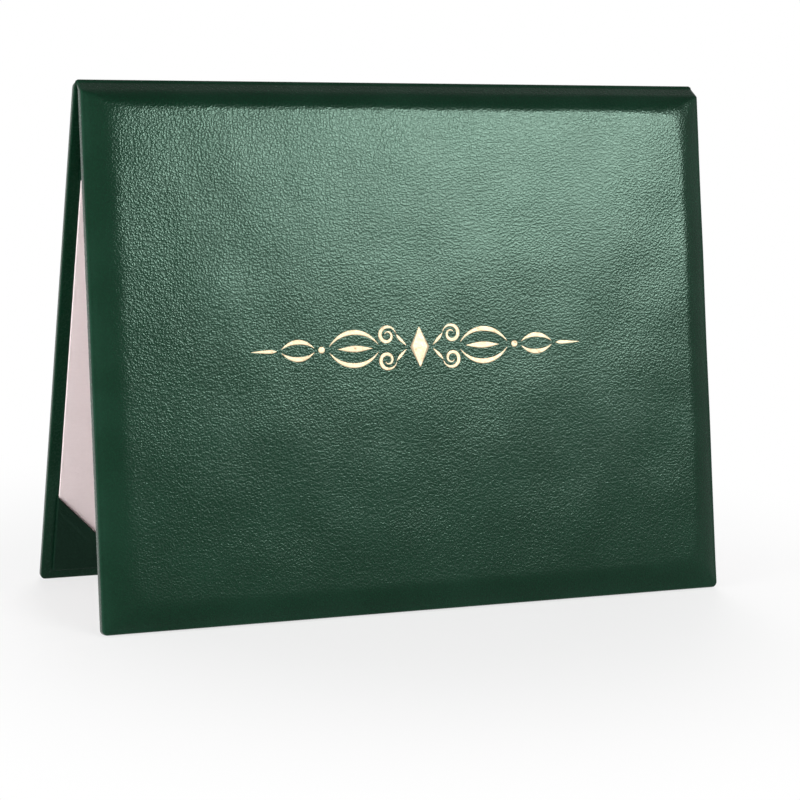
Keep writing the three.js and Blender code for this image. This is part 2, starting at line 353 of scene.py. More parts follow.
def grid_rim(count_across, count_along):
    """Row and column of a grid's rim points, once round, each corner given once."""
    right = [(count_across - 1, k) for k in range(count_along)]
    top = [(k, count_along - 1) for k in range(count_across - 2, -1, -1)]
    left = [(0, k) for k in range(count_along - 2, -1, -1)]
    bottom = [(k, 0) for k in range(1, count_across - 1)]
    return np.array(right + top + left + bottom)


def slab_faces(numbers):
    """A grid, its twin numbered straight after it, and the wall between their rims."""
    rim = grid_rim(*numbers.shape)
    upper = numbers[rim[:, 0], rim[:, 1]]
    wall = ring_faces(np.stack([upper, upper + numbers.size]))
    return grid_faces(numbers) + grid_faces(numbers + numbers.size) + wall


def with_corner_arcs(rim):
    """The rim with each corner repeated for every step of its arc, and the way out at each
    point: straight out of its side, or turning through a quarter at a corner."""
    last_across, last_along = rim.max(axis=0)
    turns = {(last_across, 0): -90, (last_across, last_along): 0, (0, last_along): 90, (0, 0): 180}
    cells, ways = [], []
    for cell in map(tuple, rim.tolist()):
        if cell in turns:
            cells += [cell] * (CORNER_TURNS + 1)
            ways += [turns[cell] + 90 * step / CORNER_TURNS for step in range(CORNER_TURNS + 1)]
        else:
            cells.append(cell)
            at_side = cell[0] in (0, last_across)
            ways.append((0 if cell[0] else 180) if at_side else (90 if cell[1] else -90))
    return np.array(cells), np.radians(np.array(ways))


rim_cells, rim_ways = with_corner_arcs(grid_rim(len(grid_across), len(grid_along)))
rim_across, rim_along = grid_across[rim_cells[:, 0]], grid_along[rim_cells[:, 1]]


def loop_places(inset):
    """Flat places of a loop. The corners' arcs shrink with the inset, and deeper in the
    whole loop is scaled down, so that the turned-in corners meet in a mitre."""
    outward = max(CORNER - inset, 0.0)
    deeper = max(inset - CORNER, 0.0)
    across = rim_across * (1 - deeper / edge_across) + outward * np.cos(rim_ways)
    along = rim_along * (1 - deeper / edge_along) + outward * np.sin(rim_ways)
    return across, along


def edge_profile(depth):
    """Loops as inset, share of the way in and distance from the layer: over the rim, down
    the side, under the board and in to the cut edge, at a depth under the sheet's face."""
    outer, inner = max(RIM_ROUND - depth, 0.1), max(INNER_ROUND - depth, 0.1)

    def roll(radius, turn, share):
        return [(depth + radius * (1 - math.cos(a)), share, depth + radius * (1 - math.sin(a))) for a in turn]

    over, under = roll(outer, arc(90, 0, 5), 0), roll(inner, arc(0, 90, 5), 1)
    insets = (3.0, 5.5, 9.0, 12.0, TURN_IN - 0.2, TURN_IN)
    behind = [(max(inset, depth + inner + 0.1), 1, depth) for inset in insets]
    return over + [(depth, 0.5, 0)] + under + behind


def edge_loop(inset, share, offset):
    """The points of one loop of the wrap."""
    across, along = loop_places(inset)
    face, inner = both_levels(across, along)
    kept = np.minimum(offset, (face - inner) / 2)
    return roll_sheet(across, along, (face - kept) * (1 - share) + (inner + kept) * share)


def unfolded(start, loops):
    """Flat places of the loops: straight out from the rim by the length of sheet used so
    far. They are most rubbed on the rim's roll, a few loops out, where the paler colour is
    wear and also a painted highlight along the edge."""
    walked = np.zeros(len(start))
    last, places = start, []
    for number, loop in enumerate(loops):
        walked = walked + np.linalg.norm(loop - last, axis=-1)
        rub_and_highlight = np.full(len(start), math.exp(-((number - 3) / 2.2) ** 2))
        places.append(np.stack([
            rim_across + walked * np.cos(rim_ways), rim_along + walked * np.sin(rim_ways), rub_and_highlight], axis=-1))
        last = loop
    return places


# %% Make the wrap


def face_grid(depth):
    """The face of the sheet at a depth under its outside, as points and flat places. The
    fold's bead is rubbed a little, and so is the face close to its rim; the paler colour
    there is wear and also a painted highlight."""
    across, along = np.meshgrid(grid_across, grid_along, indexing="ij")
    level = both_levels(across, along)[0] - depth
    from_rim = np.minimum(edge_across - np.abs(across), edge_along - np.abs(along))
    rub_and_highlight = np.maximum(0.3 * np.exp(-from_rim / 0.8), 0.25 * np.exp(-(along / 1.0) ** 2))
    return roll_sheet(across, along, level), np.stack([across, along, rub_and_highlight], axis=-1)


def make_wrap():
    """Grid, loops out and round to the cut edge, loops back inside, and the inner grid."""
    grids = [face_grid(0), face_grid(SHEET)]
    outer = [edge_loop(*row) for row in edge_profile(0)]
    inner = [edge_loop(*row) for row in edge_profile(SHEET)]
    loops = outer + inner[::-1]
    numbers = np.arange(len(grid_across) * len(grid_along)).reshape(len(grid_across), -1)
    points = np.concatenate([grid[0].reshape(-1, 3) for grid in grids] + loops)
    rim_points = grids[0][0][rim_cells[:, 0], rim_cells[:, 1]]
    places = unfolded(rim_points, outer) + unfolded(rim_points, inner)[::-1]
    flat = np.concatenate([grid[1].reshape(-1, 3) for grid in grids] + places)
    first, size = 2 * numbers.size, len(rim_cells)
    rim_numbers = numbers[rim_cells[:, 0], rim_cells[:, 1]]
    rings = first + np.arange(len(loops) * size).reshape(-1, size)
    rings = np.vstack([rim_numbers, rings, rim_numbers + numbers.size])
    faces = grid_faces(numbers) + grid_faces(numbers + numbers.size) + ring_faces(rings)
    return new_piece("leatherette_wrap", points, faces, flat)


wrap = make_wrap()

# %% [markdown]
# The inner strip lines the fold from board to board. Its section is a path: along the front
# board under the lining, in to the axis, round it, and out along the back board.

# %% The strip that lines the fold
liner_high = extent("front_hinge_liner", "front")[1]
back_liner_high = extent("back_hinge_liner", "back")[1]
LINER = 0.3                 # thickness of the strip
LINER_FOLD = 0.06           # its distance from the fold's axis


def liner_path(lift):
    """Section points from the front lap to the back lap, lifted off the shut plane's side."""

    def beside(cover, lap):
        downs = np.concatenate([np.linspace(lap, tops[cover], 6), np.linspace(tops[cover], 0.4, 9)[1:]])
        share = np.clip(downs / tops[cover], 0, 1)
        level = LINER_FOLD + (inner_level - 0.02 - LINER - LINER_FOLD) * share + lift
        return on_cover(cover, 0, downs, level)

    angles = np.linspace(1, -1, 9) * (np.pi / 2 - half_angle)
    radius = LINER_FOLD + lift
    middle = fold_axis + np.stack([0 * angles, -radius * np.sin(angles), radius * np.cos(angles)], axis=-1)
    return np.concatenate([beside("front", liner_high[1]), middle, beside("back", back_liner_high[1])[::-1]])


def make_fold_strip():
    """The section's two faces carried across, closed at the laps and at both ends."""
    section = np.concatenate([liner_path(0.0), liner_path(LINER)[::-1]])
    stations = np.linspace(-1, 1, 45) * liner_high[0]
    shifts = np.stack([stations, 0 * stations, 0 * stations], axis=1)
    points = section[None, :, :] + shifts[:, None, :]
    numbers = np.arange(len(stations) * len(section)).reshape(len(stations), -1)
    faces = ring_faces(numbers)
    half = len(section) // 2
    for row in (numbers[0], numbers[-1]):
        faces += grid_faces(np.stack([row[:half], row[half:][::-1]]))
    return new_piece("fold_lining_strip", points.reshape(-1, 3), faces)


fold_strip = make_fold_strip()

# %% [markdown]
# A lining is a thin board covered in pale paper, glued over the turned-in sheet. It is a
# rectangle with softened edges, lofted through a few loops of one rounded outline.

# %% Linings with softened edges
LINING_CORNER = 1.2
LINING_EDGE = 0.35


def rounded_loop(low, high, radius, inset, steps=5):
    """Corner points of a rounded rectangle, drawn in by the inset, once round."""
    radius = max(radius - inset, 0.05)
    left, right = low[0] + inset + radius, high[0] - inset - radius
    top, bottom = low[1] + inset + radius, high[1] - inset - radius
    corners = ((right, bottom, 0), (left, bottom, 90), (left, top, 180), (right, top, 270))
    turns = [arc(a, a + 90, steps) for _, _, a in corners]
    across = [x + radius * np.cos(turn) for (x, _, _), turn in zip(corners, turns)]
    down = [y + radius * np.sin(turn) for (_, y, _), turn in zip(corners, turns)]
    return np.concatenate(across), np.concatenate(down)


def make_lining(cover):
    """A board the size of its measured node: loops over its lower edge and its upper one."""
    low, high = extent(f"{cover}_lining", cover)
    loops = []
    for base, way, turn in ((low[2], 1, arc(90, 0, 4)), (high[2], -1, arc(0, 90, 4))):
        for angle in turn:
            outline = rounded_loop(low, high, LINING_CORNER, LINING_EDGE * (1 - math.cos(angle)))
            loops.append(on_cover(cover, *outline, base + way * LINING_EDGE * (1 - math.sin(angle))))
    rings = np.arange(len(loops) * len(loops[0])).reshape(len(loops), -1)
    faces = ring_faces(rings) + [rings[0][::-1].tolist(), rings[-1].tolist()]
    piece = new_piece(f"{cover}_lining_board", np.concatenate(loops), faces)
    crease(piece, degrees=30)
    return piece


linings = {cover: make_lining(cover) for cover in COVERS}

# %% [markdown]
# The foam can't be seen, but it gives the front its shape, so it is a piece too: a
# crowned pad that keeps a sheet's thickness below the wrap's outside.

# %% The foam under the front
FOAM_GRID = (151, 121)      # points across and down
FOAM_START = 0.6            # below the measured foam's upper edge
FOAM_LEAST = 0.05           # thickness where the sheet presses it flat


def make_foam():
    """A closed pad: a flat base on the board and a top that follows the padded face."""
    low, high = front_foam_low, front_foam_high
    across, down = np.meshgrid(
        np.linspace(low[0], high[0], FOAM_GRID[0]),
        np.linspace(low[1] + FOAM_START, high[1], FOAM_GRID[1]), indexing="ij")
    from_edge = np.minimum.reduce([half_width - np.abs(across), length - down, down - tops["front"] + 0.4])
    rounding = np.clip(from_edge - 0.9, 0, 1)
    top = face_level("front", across, down) - SHEET - 2 * AIR - 0.7 * (1 - rounding) ** 2
    top = np.maximum(top, low[2] + FOAM_LEAST)
    layers = [on_cover("front", across, down, level).reshape(-1, 3) for level in (top, low[2])]
    numbers = np.arange(across.size).reshape(across.shape)
    return new_piece("foam_pad", np.concatenate(layers), slab_faces(numbers))


foam = make_foam()

# %% [markdown]
# A corner pocket is a triangle of leatherette, hemmed along its long side and folded down
# round both edges of the lining's corner. It is lofted in rows parallel to the hem. Each
# climbs one wall, crosses the face and goes down the other wall.

# %% Corner pockets
POCKET_SHEET = 0.4          # thickness of the pocket's leatherette
POCKET_ROUND = 0.6          # roll over the lining's edge
POCKET_ROWS = 44
HEM = 5.0                   # width of the hem
HEM_WELT = 0.18             # how much it stands up
POCKET_LIFT = 0.12          # slack between the hem and the lining
back_lining_low, back_lining_high = extent("back_lining", "back")


def pocket_rows(node, side, at_bottom, depth, reaches):
    """Points of the rows at a depth under the pocket's outside. P and q are distances in
    from the lining's two edges; a row keeps their sum. Near an edge the level falls as a
    quarter circle; towards the hem the sheet stands a little off the lining."""
    low, high = extent(node, "back")
    away = (high[0] if side > 0 else -low[0]) - back_lining_high[0] - depth
    face = low[2] + depth
    bend = max(POCKET_ROUND - depth, 0.15)
    base = high[2] - 0.05
    width = (reaches + 2 * away)[:, None]
    quarter = bend * (1 - np.cos(arc(0, 90, 5)))[None, :]
    climb = np.minimum(quarter, width / 2)
    ramp = np.linspace(0, 1, 30)[None, 1:-1]
    inner = climb[:, -1:] + (width - 2 * climb[:, -1:]) * ramp
    cross = np.concatenate([climb, inner, width - climb[:, ::-1]], axis=1)
    near = np.minimum(cross, width - cross)
    drop = bend - np.sqrt(np.clip(bend**2 - np.clip(bend - near, 0, None) ** 2, 0, None))
    share = np.clip(reaches / reaches.max(), 0, 1)[:, None]
    lift = POCKET_LIFT * share * np.clip(near / 8, 0, 1)
    into_hem = np.clip((reaches - reaches.max() + HEM * math.sqrt(2)) / 1.2, 0, 1)[:, None]
    welt = HEM_WELT * into_hem * np.clip(near / 1.5, 0, 1) * (depth == 0)
    level = face + drop - lift - welt
    walls = np.linspace(1, 0, 5)[None, :-1]
    left_wall = level[:, :1] + (base - level[:, :1]) * walls
    right_wall = (level[:, -1:] + (base - level[:, -1:]) * walls)[:, ::-1]
    level = np.concatenate([left_wall, level, right_wall], axis=1)
    cross = np.concatenate([np.repeat(cross[:, :1], 4, 1), cross, np.repeat(cross[:, -1:], 4, 1)], axis=1)
    q = cross - away
    p = width - away - cross
    across = side * (back_lining_high[0] - p)
    edge = back_lining_high[1] if at_bottom else back_lining_low[1]
    down = edge - q if at_bottom else edge + q
    return on_cover("back", across, down, level)


def make_pocket(node, side, at_bottom):
    """Outer rows from the corner to the hem, a rolled hem edge, and inner rows back."""
    low, high = extent(node, "back")
    away = (high[0] if side > 0 else -low[0]) - back_lining_high[0]
    leg = high[0] - low[0] - away
    steps = np.linspace(0, 1, POCKET_ROWS) ** 0.8
    outer_reaches = -2 * away + (leg + 2 * away) * steps
    inner_away = away - POCKET_SHEET
    inner_reaches = -2 * inner_away + (leg - 0.1 + 2 * inner_away) * steps
    outside = pocket_rows(node, side, at_bottom, 0.0, outer_reaches)
    inside = pocket_rows(node, side, at_bottom, POCKET_SHEET, inner_reaches)
    middle = (outside[-1] + inside[-1]) / 2
    ahead = outside[-1] - outside[-2]
    push = ahead / np.linalg.norm(ahead, axis=-1, keepdims=True)
    grid = np.concatenate([outside, (middle + push * 0.16)[None], inside[::-1]])
    numbers = np.arange(grid.shape[0] * grid.shape[1]).reshape(grid.shape[:2])
    rows = len(outside)
    rims = []
    for column in (0, -1):
        outer_rim, inner_rim = numbers[:rows, column], numbers[rows + 1:, column][::-1]
        rims += grid_faces(np.stack([outer_rim, inner_rim]))
        rims.append(numbers[rows - 1:rows + 2, column].tolist())
    rims += grid_faces(np.stack([numbers[0], numbers[-1]]))
    # The hem is rubbed paler, which is wear and also a painted highlight on its welt.
    hem_rub_and_highlight = 0.8 * np.exp(-(np.abs(np.arange(len(grid)) - rows) / 1.5) ** 2)[:, None]
    flat = np.stack([grid[..., 0], grid[..., 2], hem_rub_and_highlight + 0 * grid[..., 0]], axis=-1)
    return new_piece(node + "_sheet", grid.reshape(-1, 3), grid_faces(numbers) + rims, flat.reshape(-1, 3))


pockets = {}
for node in sorted(frame["nodes"]):
    if node.startswith("corner_pocket"):
        low, high = extent(node, "back")
        pockets[node] = make_pocket(node, 1 if high[0] > 0 else -1, low[1] > length / 2)

# %% [markdown]
# The front carries a stamped foil flourish of this file's own design: a lozenge, a pair of
# scrolls each side, leaves and a tapering rule. Each stroke is a ribbon along a path, laid
# on the padded face a few hundredths of a millimetre proud.

# %% Foil ornament
FOIL_CENTRE = 116.0         # down from the fold
FOIL = 0.07                 # how proud it stands
FOIL_SINK = 0.03            # how deep its underside lies


def stroke(points, faces, path, half_width_along, ribs=7):
    """Adds one ribbon: a grid along the path and across its width, on top and underneath."""
    path = np.asarray(path, float)
    ahead = np.gradient(path, axis=0)
    ahead /= np.maximum(np.linalg.norm(ahead, axis=1, keepdims=True), 1e-9)
    side = np.stack([-ahead[:, 1], ahead[:, 0]], axis=1)
    spread = np.linspace(-1, 1, ribs)
    plan = path[:, None, :] + side[:, None, :] * (np.asarray(half_width_along)[:, None] * spread)[..., None]
    across, down = plan[..., 0], plan[..., 1] + FOIL_CENTRE
    seat = face_level("front", across, down)
    edge = np.clip(1 - np.abs(spread), 0, 0.2) / 0.2
    start = sum(len(part) for part in points)
    for level in (seat + FOIL * (0.35 + 0.65 * edge), seat - FOIL_SINK):
        points.append(on_cover("front", across, down, level).reshape(-1, 3))
    faces += slab_faces(start + np.arange(plan.shape[0] * ribs).reshape(-1, ribs))


def scroll(centre, start_radius, end_radius, start_turn, end_turn, steps=44):
    """A spiral: the radius goes evenly from its start to its end as the angle turns."""
    t = np.linspace(0, 1, steps)
    turn = np.radians(start_turn + (end_turn - start_turn) * t)
    radius = start_radius + (end_radius - start_radius) * t
    return np.stack([centre[0] + radius * np.cos(turn), centre[1] + radius * np.sin(turn)], axis=1)


def curve(start, pull_start, pull_end, end, steps=40):
    """A cubic curve through its start and end, drawn towards two pulls between them."""
    t = np.linspace(0, 1, steps)[:, None]
    a, b, c, d = (np.array(p, float) for p in (start, pull_start, pull_end, end))
    return a * (1 - t) ** 3 + 3 * b * t * (1 - t) ** 2 + 3 * c * t**2 * (1 - t) + d * t**3


def tapered(count, thick, thin=0.12, peak=0.5):
    """Half widths along a stroke: thin at both ends, thick at the peak's share."""
    t = np.linspace(0, 1, count)
    rise = np.where(t < peak, t / peak, (1 - t) / (1 - peak))
    return thin + (thick - thin) * np.sin(rise * np.pi / 2) ** 1.2


LOZENGE_HALF = 8.8
BEAD_PLACE, BEAD_REACH, BEAD_RADIUS = 46.2, 1.5, 1.52


def make_ornament():
    """The lozenge, then one side's strokes and bead, drawn twice as mirror images."""
    points, faces = [], []
    line = np.linspace(-LOZENGE_HALF, LOZENGE_HALF, 31)
    widths = 0.15 + LOZENGE_HALF / 2 * (1 - np.abs(line) / LOZENGE_HALF)
    stroke(points, faces, np.stack([0 * line, line], axis=1), widths)
    for mirror in (-1, 1):
        flip = np.array([mirror, 1.0])

        def draw(path, thick, **taper):
            stroke(points, faces, path * flip, tapered(len(path), thick, **taper))

        for up in (-1, 1):
            tilt = np.array([1.0, up])
            draw(scroll((15.4, 5.4), 4.3, 1.2, 170, -330) * tilt, 0.85, peak=0.3)
            draw(curve((6.4, 0.8), (8.6, 3.0), (10.0, 4.2), (11.1, 5.8)) * tilt, 0.7)
            draw(curve((19.6, 1.6), (26, 9.6), (37, 8.6), (42.6, 1.3)) * tilt, 1.15)
            draw(curve((49.6, 0.9), (54, 4.8), (60, 4.6), (64.6, 0.8)) * tilt, 1.1)
        draw(curve((22.5, 0), (28, 0), (33, 0), (38.5, 0)), 1.5)
        draw(curve((66.8, 0), (70, 0), (74, 0), (78.5, 0), 60), 0.85, thin=0.1, peak=0.25)
        bead = np.linspace(-BEAD_REACH, BEAD_REACH, 15)
        widths = np.sqrt(np.clip(BEAD_RADIUS**2 - bead**2, 0.01, None))
        stroke(points, faces, np.stack([bead + BEAD_PLACE, 0 * bead], axis=1) * flip, widths)
    return new_piece("foil_ornament", np.concatenate(points), faces)


ornament = make_ornament()

# %% [markdown]
# The leatherette is a coated cloth with a pebble grain, about a millimetre from pebble to
# pebble, and wider, softer wrinkles, mostly towards the upper left. Both are worked out on
# the unfolded sheet, so they run unbroken over the fold, in one group that the wrap and
# the pockets share with different strengths.

# %% Node helpers


def new_material(name, roughness, specular=0.5):
    """An empty Principled material, its tree and its shader."""
    material = bpy.data.materials.new(name)
    material.use_nodes = True
    shader = material.node_tree.nodes["Principled BSDF"]
    shader.inputs["Roughness"].default_value = roughness
    shader.inputs["Specular IOR Level"].default_value = specular
    return material, material.node_tree, shader


def add_node(tree, kind, **values):
    """A node with its sockets set: a number or colour is written, a socket is linked.
    Names that aren't sockets are the node's own settings."""
    node = tree.nodes.new("ShaderNode" + kind)
    for name, value in values.items():
        key = name.replace("_", " ")
        if key not in node.inputs:
            setattr(node, name, value)
        elif isinstance(value, bpy.types.NodeSocket):
            tree.links.new(value, node.inputs[key])
        else:
            node.inputs[key].default_value = value
    return node


def fill_sockets(tree, node, pairs):
    """Writes numbers into sockets by index, and links sockets to them."""
    for index, value in pairs:
        if isinstance(value, bpy.types.NodeSocket):
            tree.links.new(value, node.inputs[index])
        else:
            node.inputs[index].default_value = value


def maths(tree, operation, first, second=0.0):
    """A Math node's result, from numbers or sockets."""
    node = add_node(tree, "Math", operation=operation)
    fill_sockets(tree, node, ((0, first), (1, second)))
    return node.outputs[0]


def times(tree, value, factor):
    """A product of two numbers or sockets."""
    return maths(tree, "MULTIPLY", value, factor)


def mixed(tree, share, first, second):
    """A colour between two, by a share from nought to one."""
    node = add_node(tree, "Mix", data_type="RGBA")
    fill_sockets(tree, node, ((0, share), (6, first), (7, second)))
    return node.outputs[2]


def stepped(tree, value, low, high, to_low=0.0, to_high=1.0):
    """A value remapped smoothly from one range to another."""
    node = add_node(tree, "MapRange", interpolation_type="SMOOTHSTEP")
    fill_sockets(tree, node, enumerate((value, low, high, to_low, to_high)))
    return node.outputs["Result"]


def own_place(tree):
    """Place on the piece, in metres."""
    return tree.nodes.new("ShaderNodeTexCoord").outputs["Object"]


def set_surface(tree, shader, colour, roughness, height, rise, **more):
    """Links the colour and the roughness, and a bump of the height times a rise in metres."""
    bump = add_node(tree, "Bump", Height=height, Distance=rise, **more)
    sockets = {"Base Color": colour, "Roughness": roughness, "Normal": bump.outputs["Normal"]}
    for name, value in sockets.items():
        tree.links.new(value, shader.inputs[name])


# %% Grain of the leatherette


def leather_grain_group():
    """Place in millimetres on the flat sheet goes in; pebble height, wrinkle height and a
    slow mottling come out, each about nought to one."""
    group = bpy.data.node_groups.new("leather_grain", "ShaderNodeTree")
    group.interface.new_socket("Place", in_out="INPUT", socket_type="NodeSocketVector")
    for name in ("Pebbles", "Wrinkles", "Mottle"):
        group.interface.new_socket(name, in_out="OUTPUT", socket_type="NodeSocketFloat")
    place = group.nodes.new("NodeGroupInput").outputs["Place"]
    sway = add_node(group, "TexNoise", noise_dimensions="2D", Vector=place, Scale=0.5, Detail=1.0)
    bent = add_node(group, "VectorMath", operation="MULTIPLY_ADD")
    fill_sockets(group, bent, ((0, sway.outputs["Color"]), (1, (1.1, 1.1, 1.1)), (2, place)))
    pebble = add_node(
        group, "TexVoronoi", voronoi_dimensions="2D", feature="F1", Vector=bent.outputs[0], Scale=0.95)
    fine = add_node(group, "TexNoise", noise_dimensions="2D", Vector=place, Scale=2.1, Detail=2.0)
    domes = stepped(group, pebble.outputs["Distance"], 0.05, 0.7, 1.0, 0.0)
    pebbles = maths(group, "ADD", times(group, domes, 0.7), times(group, fine.outputs["Fac"], 0.3))
    wide = add_node(
        group, "TexNoise", noise_dimensions="2D", Vector=bent.outputs[0],
        Scale=0.42, Detail=2.0, Roughness=0.5, Distortion=0.3)
    mottle = add_node(group, "TexNoise", noise_dimensions="2D", Vector=place, Scale=0.03, Detail=3.0)
    result = group.nodes.new("NodeGroupOutput")
    fill_sockets(group, result, enumerate((pebbles, wide.outputs["Fac"], mottle.outputs["Fac"])))
    return group


grain_group = leather_grain_group()


def leatherette(name, colour, worn_and_highlit_colour, roughness, pebble_height, wrinkle_height):
    """The coated cloth: dark green, glossier on the pebbles' tops than between them, with
    painted shade between the pebbles. It is paler by a touch where an edge is rubbed, which
    is wear and also a painted highlight, with wrinkles stronger towards the upper left."""
    material, tree, shader = new_material(name, roughness, specular=0.17)
    shader.inputs["Specular Tint"].default_value = (0.66, 1.0, 0.82, 1)
    place = add_node(tree, "Attribute", attribute_name="sheet_place")
    grain = add_node(tree, "Group", node_tree=grain_group)
    tree.links.new(place.outputs["Vector"], grain.inputs["Place"])
    parts = add_node(tree, "SeparateXYZ", Vector=place.outputs["Vector"])
    rightwards = stepped(tree, parts.outputs["X"], -60, 110)
    downwards = stepped(tree, parts.outputs["Y"], 60, 210)
    tight = times(tree, maths(tree, "MAXIMUM", rightwards, downwards), 0.6)
    wrinkled = times(tree, grain.outputs["Wrinkles"], maths(tree, "SUBTRACT", 1.0, tight))
    # Paler where an edge is rubbed: wear, and also a painted highlight on the rim's roll, the fold's bead and
    # the pockets' hem.
    rubbed_and_highlit = times(tree, parts.outputs["Z"], stepped(tree, grain.outputs["Mottle"], 0.3, 0.6, 0.3, 0.9))
    valleys = stepped(tree, grain.outputs["Pebbles"], 0.2, 0.6, 1.0, 0.0)
    # Painted shade: the pebbles' valleys are mixed up to halfway towards a darker copy of the green.
    shade = tuple(0.6 * c for c in colour[:3]) + (1,)
    valley_shaded = mixed(tree, times(tree, valleys, 0.5), colour, shade)
    tinted = mixed(tree, stepped(tree, grain.outputs["Mottle"], 0.35, 0.7, 0, 0.15), valley_shaded, worn_and_highlit_colour)
    # Mixed towards the paler colour where rubbed, which is wear and also a painted highlight.
    shown = mixed(tree, times(tree, rubbed_and_highlit, 0.6), tinted, worn_and_highlit_colour)
    dull = maths(tree, "ADD", times(tree, valleys, 0.10), roughness)
    worn = maths(tree, "SUBTRACT", dull, times(tree, rubbed_and_highlit, 0.05))
    broad = add_node(tree, "Bump", Height=wrinkled, Distance=wrinkle_height).outputs["Normal"]
    set_surface(tree, shader, shown, worn, grain.outputs["Pebbles"], pebble_height, Normal=broad)
    return material


GREEN = (0.0024, 0.022, 0.0098, 1)
# A paler green for rubbed edges, which is wear and also a painted highlight.
RUBBED_HIGHLIT_GREEN = (0.012, 0.050, 0.029, 1)
# The pockets' greens are darker copies of the cover's: painted shade, for where they sit between the covers.
SHADED_POCKET_GREEN = (0.002, 0.014, 0.007, 1)
SHADED_POCKET_RUBBED_HIGHLIT = (0.008, 0.030, 0.017, 1)
wrap_leather = leatherette("leatherette_cover", GREEN, RUBBED_HIGHLIT_GREEN, 0.19, 0.00006, 0.00006)
shaded_pocket_leather = leatherette("leatherette_pocket_shaded", SHADED_POCKET_GREEN, SHADED_POCKET_RUBBED_HIGHLIT, 0.5, 0.00005, 0.00008)
wrap.data.materials.append(wrap_leather)
for piece in pockets.values():
    piece.data.materials.append(shaded_pocket_leather)

# %% [markdown]
# The lining paper is pale, faintly warm and satin, with its fibre and a slight waviness.

# %% Lining paper


def fibrous(name, colour, tint, roughness, fibre, height, specular=0.35):
    """A sheet or board with stretched fibres in its colour, its roughness and its height."""
    material, tree, shader = new_material(name, roughness, specular)
    where = own_place(tree)
    stretched = add_node(tree, "Mapping", Vector=where, Scale=(fibre, fibre * 2.6, fibre * 2.6))
    fibres = add_node(
        tree, "TexNoise", Vector=stretched.outputs[0], Scale=1.0, Detail=6.0, Roughness=0.65)
    cloud = add_node(tree, "TexNoise", Vector=where, Scale=18.0, Detail=3.0)
    flecks = stepped(tree, fibres.outputs["Fac"], 0.35, 0.7)
    shown = mixed(tree, times(tree, flecks, 0.45), colour, tint)
    clouded = mixed(tree, stepped(tree, cloud.outputs["Fac"], 0.35, 0.75, 0, 0.3), shown, tint)
    satin = stepped(tree, fibres.outputs["Fac"], 0.2, 0.8, roughness - 0.06, roughness + 0.08)
    total = maths(tree, "ADD", fibres.outputs["Fac"], times(tree, cloud.outputs["Fac"], 1.6))
    set_surface(tree, shader, clouded, satin, total, height)
    return material


PAPER, PAPER_TINT = (0.83, 0.73, 0.73, 1), (0.78, 0.68, 0.68, 1)
GREY_BOARD, GREY_FLECK = (0.26, 0.235, 0.20, 1), (0.17, 0.15, 0.125, 1)
paper = fibrous("lining_paper_finish", PAPER, PAPER_TINT, 0.5, 420, 0.00006)
board_finish = fibrous("grey_board_finish", GREY_BOARD, GREY_FLECK, 0.9, 300, 0.00012, 0.2)
for lining in linings.values():
    lining.data.materials.append(paper)

# %% [markdown]
# The boards are right in the frame and only get the grey board finish. The
# strip in the fold is a woven book cloth, and the foam is full of small open cells.

# %% Board, cloth and foam finishes
for node in ("front_board", "back_board"):
    for slot in frame["nodes"][node].material_slots:
        slot.material = board_finish


def book_cloth():
    """Two sets of threads at right angles, from a sine each way, with painted shade between threads."""
    material, tree, shader = new_material("book_cloth", 0.75, specular=0.25)
    where = own_place(tree)
    warp_and_weft = [
        add_node(
            tree, "TexWave", bands_direction=way, Vector=where, Scale=420.0, Distortion=0.6, Detail=1.0)
        for way in "XZ"]
    threads = maths(tree, "MAXIMUM", *(wave.outputs["Fac"] for wave in warp_and_weft))
    # Painted shade: darker between the threads.
    shown = mixed(tree, threads, (0.006, 0.020, 0.011, 1), (0.015, 0.052, 0.028, 1))
    set_surface(tree, shader, shown, stepped(tree, threads, 0, 1, 0.85, 0.65), threads, 0.00012)
    return material


def open_foam():
    """Small open cells: painted shade in the pits of a pale body."""
    material, tree, shader = new_material("open_foam", 0.95, specular=0.1)
    where = own_place(tree)
    cells = add_node(tree, "TexVoronoi", feature="F1", Vector=where, Scale=1100.0)
    # Painted shade: darker in the cells' pits.
    painted_pit_shade = stepped(tree, cells.outputs["Distance"], 0.2, 0.7)
    shown = mixed(tree, painted_pit_shade, (0.80, 0.76, 0.66, 1), (0.60, 0.55, 0.45, 1))
    rough = stepped(tree, cells.outputs["Distance"], 0, 1, 0.9, 1.0)
    set_surface(tree, shader, shown, rough, cells.outputs["Distance"], 0.0003)
    return material


fold_strip.data.materials.append(book_cloth())
foam.data.materials.append(open_foam())

# %% [markdown]
# Stamping foil is a metal film pressed on hot. It keeps a ghost of the grain beneath it,
# and is worn a little browner in small places.

# %% Gold foil


def gold_foil():
    """A pale cream-gold metal film, mottled by the grain, worn browner in small places."""
    material, tree, shader = new_material("gold_foil", 0.38)
    where = own_place(tree)
    grain = add_node(tree, "TexVoronoi", feature="SMOOTH_F1", Vector=where, Scale=900.0, Smoothness=0.6)
    wear = add_node(tree, "TexNoise", Vector=where, Scale=420.0, Detail=4.0, Roughness=0.7)
    thin = stepped(tree, wear.outputs["Fac"], 0.56, 0.72)
    shown = mixed(tree, times(tree, thin, 0.7), (0.50, 0.40, 0.26, 1), (0.28, 0.165, 0.08, 1))
    shader.inputs["Metallic"].default_value = 0.5
    rough = stepped(tree, wear.outputs["Fac"], 0.3, 0.8, 0.50, 0.68)
    set_surface(tree, shader, shown, rough, grain.outputs["Distance"], 0.00008, invert=True)
    return material


